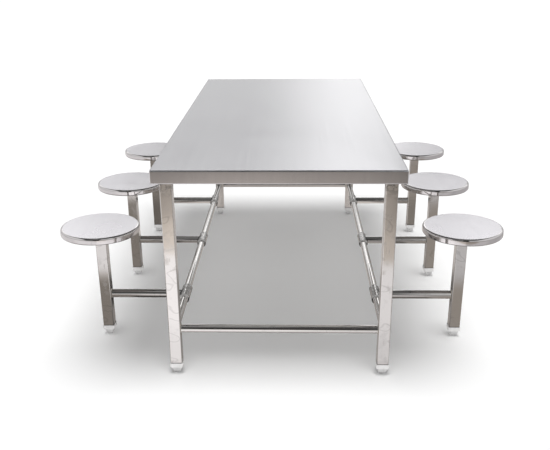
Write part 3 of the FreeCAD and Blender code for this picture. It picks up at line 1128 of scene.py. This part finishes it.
# %% Shadow card and contact shade
CARD_HALF_X = 0.667
CARD_HALF_Y = 0.967
CARD_CENTRE = (-0.022, 0.030, 0.95)
shadow_card = flat_sheet("shadow_card", CARD_HALF_X, CARD_HALF_Y, CARD_CENTRE)
hide_from(shadow_card, "camera", "diffuse", "glossy", "transmission")
for made in made_pieces:
    if made.name.startswith(("seat_", "arm_", "crossbar_", "side_rail_", "weld_", "nylon_")):
        hide_from(made, "shadow")

CONTACT_RADIUS = 32 * MM
CONTACT_HEIGHT = 5 * MM
contact_discs = bmesh.new()
for spot in leg_spots.values():
    bmesh.ops.create_circle(contact_discs, cap_ends=True, segments=32, radius=CONTACT_RADIUS,
                            matrix=spot @ Matrix.Translation((0, 0, CONTACT_HEIGHT)))
contact_shade = new_object("contact_shade", contact_discs)
contact_shade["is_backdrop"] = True
hide_from(contact_shade, "camera", "glossy")
veil = new_finish("half_clear_veil")
contact_shade.data.materials.append(veil.surface(clear=0.5, Roughness=1.0, Specular_IOR_Level=0.0))
print("the card and", len(leg_spots), "discs of shade are in")

# %% [markdown]
# ### The room overhead
#
# The sky is a sum of soft-edged shapes. Behind the table is a bright wall, brightest in a strip a
# little to the right, and two paler walls stand at the sides. In front there is a pale wall on the
# right, a lower one on the left and a lamp high up on the left, with a dark gap where the camera
# stands. High up it is nearly black, apart from a faint patch straight above, and so it is along the
# horizon. Those dark bands draw the thin dark lines along every fold. Each edge below is one part
# of a unit direction: for up, 0 is the horizon and 1 is straight above.

# %% The walls that reflections see
world = bpy.data.worlds.new("studio_room")
bpy.context.scene.world = world
sky = Finish(world)
sideways, ahead, up = sky.node("ShaderNodeTexCoord", output=0).split()


def band(value, start, full, fade, stop):
    """0 outside start to stop, 1 between full and fade, soft in between."""
    return value.ramp(start, full) * (1 - value.ramp(fade, stop))


REAR_WALL = 0.84
REAR_WALL_RIGHT = 0.10
REAR_WALL_MIDDLE = 0.32
REAR_WALL_TOP = 0.90
STRIP = 0.62
strip = (sideways.ramp(-0.06, 0.08) * (1 - 0.25 * sideways.ramp(0.08, 0.14))
         * (1 - sideways.ramp(0.13, 0.17)) * (1 - 0.18 * up.ramp(0.20, 0.27)))
rear_glow = (up.ramp(0.27, 0.35) * REAR_WALL_TOP - up.ramp(0.17, 0.25) * REAR_WALL_MIDDLE
             + strip * STRIP + (REAR_WALL - sideways.ramp(0.14, 0.18) * REAR_WALL_RIGHT))
rear_wall = ahead.ramp(0.10, 0.45) * (band(up, 0.05, 0.12, 0.44, 0.56) * rear_glow)
print("the wall behind is", REAR_WALL, "as bright as white, and its strip", REAR_WALL + STRIP)

# %% The sides, the front and above
RIGHT_WALL = 0.62
LEFT_WALL = 0.42
FRONT_LAMP = 0.60
SIDE_WALLS = 0.80
OVERHEAD = 0.04
RIGHT_ABOVE = 0.12
NEARLY_BLACK = 0.035
in_front = 1 - ahead.ramp(-0.45, -0.15)
beside = abs(sideways).ramp(0.44, 0.60) * up.ramp(-0.02, 0.06)
right_wall = band(up, 0.02, 0.09, 0.76, 0.88) * sideways.ramp(0.10, 0.20) * RIGHT_WALL
left_wall = band(up, 0.02, 0.09, 0.32, 0.46) * (1 - sideways.ramp(-0.20, -0.10)) * LEFT_WALL
front_lamp = band(up, 0.84, 0.92, 0.985, 0.998) * (1 - sideways.ramp(-0.06, 0.02)) * FRONT_LAMP
in_front_glow = in_front * (left_wall + right_wall + front_lamp)
brightness = (rear_wall + in_front_glow) * (1 - beside) + beside * SIDE_WALLS
overhead = up.ramp(0.40, 0.60) * OVERHEAD + up.ramp(0.955, 0.985) * RIGHT_ABOVE
seen_in_steel = brightness + overhead + NEARLY_BLACK
print("the darkest part of the room is", NEARLY_BLACK)

# %% [markdown]
# Everything but steel sees a plainer room. The camera sees pure white behind the table, and the
# floor and the plastic feet are lit by white low walls under a dim ceiling.

# %% The light from all round
LOW_WALLS = 1.28
CEILING = 0.10
to_camera = sky.node("ShaderNodeLightPath", output=0)
by_steel = Value(sky, to_camera.socket.node.outputs["Is Glossy Ray"])
all_round = (1 - up.ramp(0.45, 0.70)) * (LOW_WALLS - CEILING) + CEILING
seen_elsewhere = to_camera + (1 - to_camera) * (1 - by_steel) * all_round
white_share = seen_in_steel * by_steel + seen_elsewhere
background = sky.node("ShaderNodeBackground", None, {"Color": white_share, "Strength": 1.0})
sky.node_out(background, "ShaderNodeOutputWorld")
world.cycles.sampling_method = "NONE"
print("the room has", len(world.node_tree.nodes), "nodes")

# %% [markdown]
# ### The floor in the steel
#
# Upright tubes and the table's front lip reflect the floor before them. It is bright in a patch
# in front of the legs, warm and half as bright farther off, and dark close to the table and at the
# horizon. Under the table it is dim, darker beside the front arms and lighter beside the rear ones.
# That order of light and dark is what models the legs from head to foot. Each edge below is a
# place on the floor in metres, with the table in the middle and its front towards minus y.

# %% The open floor that reflections see
MIRROR_REACH = 9
MIRROR_LIFT = 0.2 * MM
PATCH = 0.36
FAR_FLOOR = 0.46
HORIZON = 0.03
mirror_floor = flat_sheet("reflected_floor", MIRROR_REACH, MIRROR_REACH, (0, 0, MIRROR_LIFT))
glow = new_finish("warm_reflected_floor")
floor_x, floor_y, _ = glow.place().split()
out_from_middle = abs(floor_x)
skewed = floor_y - floor_x * 0.13
left_share = 1 - floor_x.ramp(-0.20, 0.40)
outside = out_from_middle.ramp(0.56, 0.74)
patch = skewed.ramp(-1.99, -1.89)
far_front = floor_y.ramp(-4.40, -3.60) * (left_share * 0.04 + FAR_FLOOR) + HORIZON
rise = (skewed.ramp(-2.60, -2.20) * (left_share * 0.14 + 0.18)
        + floor_y.ramp(-3.15, -2.80) * left_share * 0.12)
open_floor = (far_front + rise + patch * PATCH) * (1 - floor_y.ramp(-1.35, -1.05) * 0.14)
dimmed = open_floor * (1 - outside * (0.36 - left_share * 0.14))
print("far off the floor is", FAR_FLOOR + HORIZON, "as bright as white")

# %% The floor under the table
BENEATH = 0.38
REAR_BENEATH = 0.24
FRONT_ARM_SHADE = 0.22
REAR_ARM_LIGHT = 0.25
POST_SHADE = 0.24
reach_out = outside * (left_share * 0.08 + 0.19)
covered = (floor_y + reach_out).ramp(-1.00, -0.80) * (1 - out_from_middle.ramp(1.20, 1.70))
far_beneath = floor_y.ramp(-0.15, 0.12) * (1 - out_from_middle.ramp(0.50, 0.65))
beneath = far_beneath * REAR_BENEATH + (BENEATH - left_share * 0.10)
in_arm_rows = band(out_from_middle, 0.36, 0.42, 0.58, 0.62)
front_arm_shade = band(floor_y, -0.74, -0.66, -0.52, -0.46) * in_arm_rows * FRONT_ARM_SHADE
rear_arm_light = band(floor_y, 0.40, 0.48, 0.66, 0.72) * in_arm_rows * REAR_ARM_LIGHT
beside_posts = (band(out_from_middle, 0.47, 0.52, 0.57, 0.60)
                * band(floor_y, -0.42, -0.32, 0.48, 0.58) * POST_SHADE)
behind_posts = outside * floor_y.ramp(-0.15, 0.15) * 0.10
below = beneath - front_arm_shade + rear_arm_light - beside_posts - behind_posts
luminance = dimmed * (1 - covered) + covered * below
print("under the table the floor is about", BENEATH)

# %% Colour the reflected floor
WARM_FLOOR = (1.0, 0.90, 0.81)
COOL_FLOOR = (1.0, 0.975, 0.985)
cool = patch * (1 - covered) + covered * (1 - outside) * 0.5
tone = glow.colour(WARM_FLOOR, COOL_FLOOR, cool)
shaded = glow.node("ShaderNodeVectorMath", {"operation": "SCALE"}, {0: tone, "Scale": luminance})
emission = glow.node("ShaderNodeEmission", None, {"Color": shaded, "Strength": 1.0})
glow.node_out(emission, "ShaderNodeOutputMaterial")
glow.owner.cycles.emission_sampling = "NONE"
mirror_floor.data.materials.append(glow.owner)
hide_from(mirror_floor, "camera", "diffuse", "shadow", "transmission", "volume_scatter")
print("the reflected floor only shows in steel")

# %% [markdown]
# ## The camera
#
# The camera stands at chest height, a little over two metres in front of the table, and looks down
# on it, so that the top narrows strongly and the stools fan out. Its place and angle are plain
# numbers, found by setting the table's straight edges over the view. A small shift takes the place
# of cropping.

# %% Camera
FRAME_WIDTH_PX = 550
FRAME_HEIGHT_PX = 450
FOCAL_PX = 746.05
AXIS_PX = (268.60, 248.94)
CAMERA_PLACE = Vector((0.0432, -3.1640, 1.3920))
CAMERA_YAW = radians(1.9126)
CAMERA_PITCH = radians(21.8186)
CAMERA_ROLL = radians(0.5515)

camera_data = bpy.data.cameras.new("view")
camera_data.sensor_width = 36.0
camera_data.lens = FOCAL_PX / FRAME_WIDTH_PX * camera_data.sensor_width
camera_data.shift_x = (FRAME_WIDTH_PX / 2 - AXIS_PX[0]) / FRAME_WIDTH_PX
camera_data.shift_y = (AXIS_PX[1] - FRAME_HEIGHT_PX / 2) / FRAME_WIDTH_PX
camera = bpy.data.objects.new("view", camera_data)
bpy.context.scene.collection.objects.link(camera)
turn = (Matrix.Rotation(CAMERA_YAW, 4, "Z") @ Matrix.Rotation(-CAMERA_PITCH, 4, "X")
        @ Matrix.Rotation(CAMERA_ROLL, 4, "Y") @ Matrix.Rotation(pi / 2, 4, "X"))
camera.matrix_world = Matrix.Translation(CAMERA_PLACE) @ turn
bpy.context.scene.camera = camera
bpy.context.scene.view_settings.view_transform = "Standard"
print("lens", round(camera_data.lens, 2), "mm, shift", round(camera_data.shift_x, 4),
      round(camera_data.shift_y, 4))

# %% [markdown]
# ## Last look at the size
#
# The dressed table must not outgrow its frame, so the size of its box, without the studio, is printed.

# %% Print the dressed size
low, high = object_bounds()
print("dressed size", [round(size, 4) for size in high - low], "m,", len(made_pieces), "pieces")
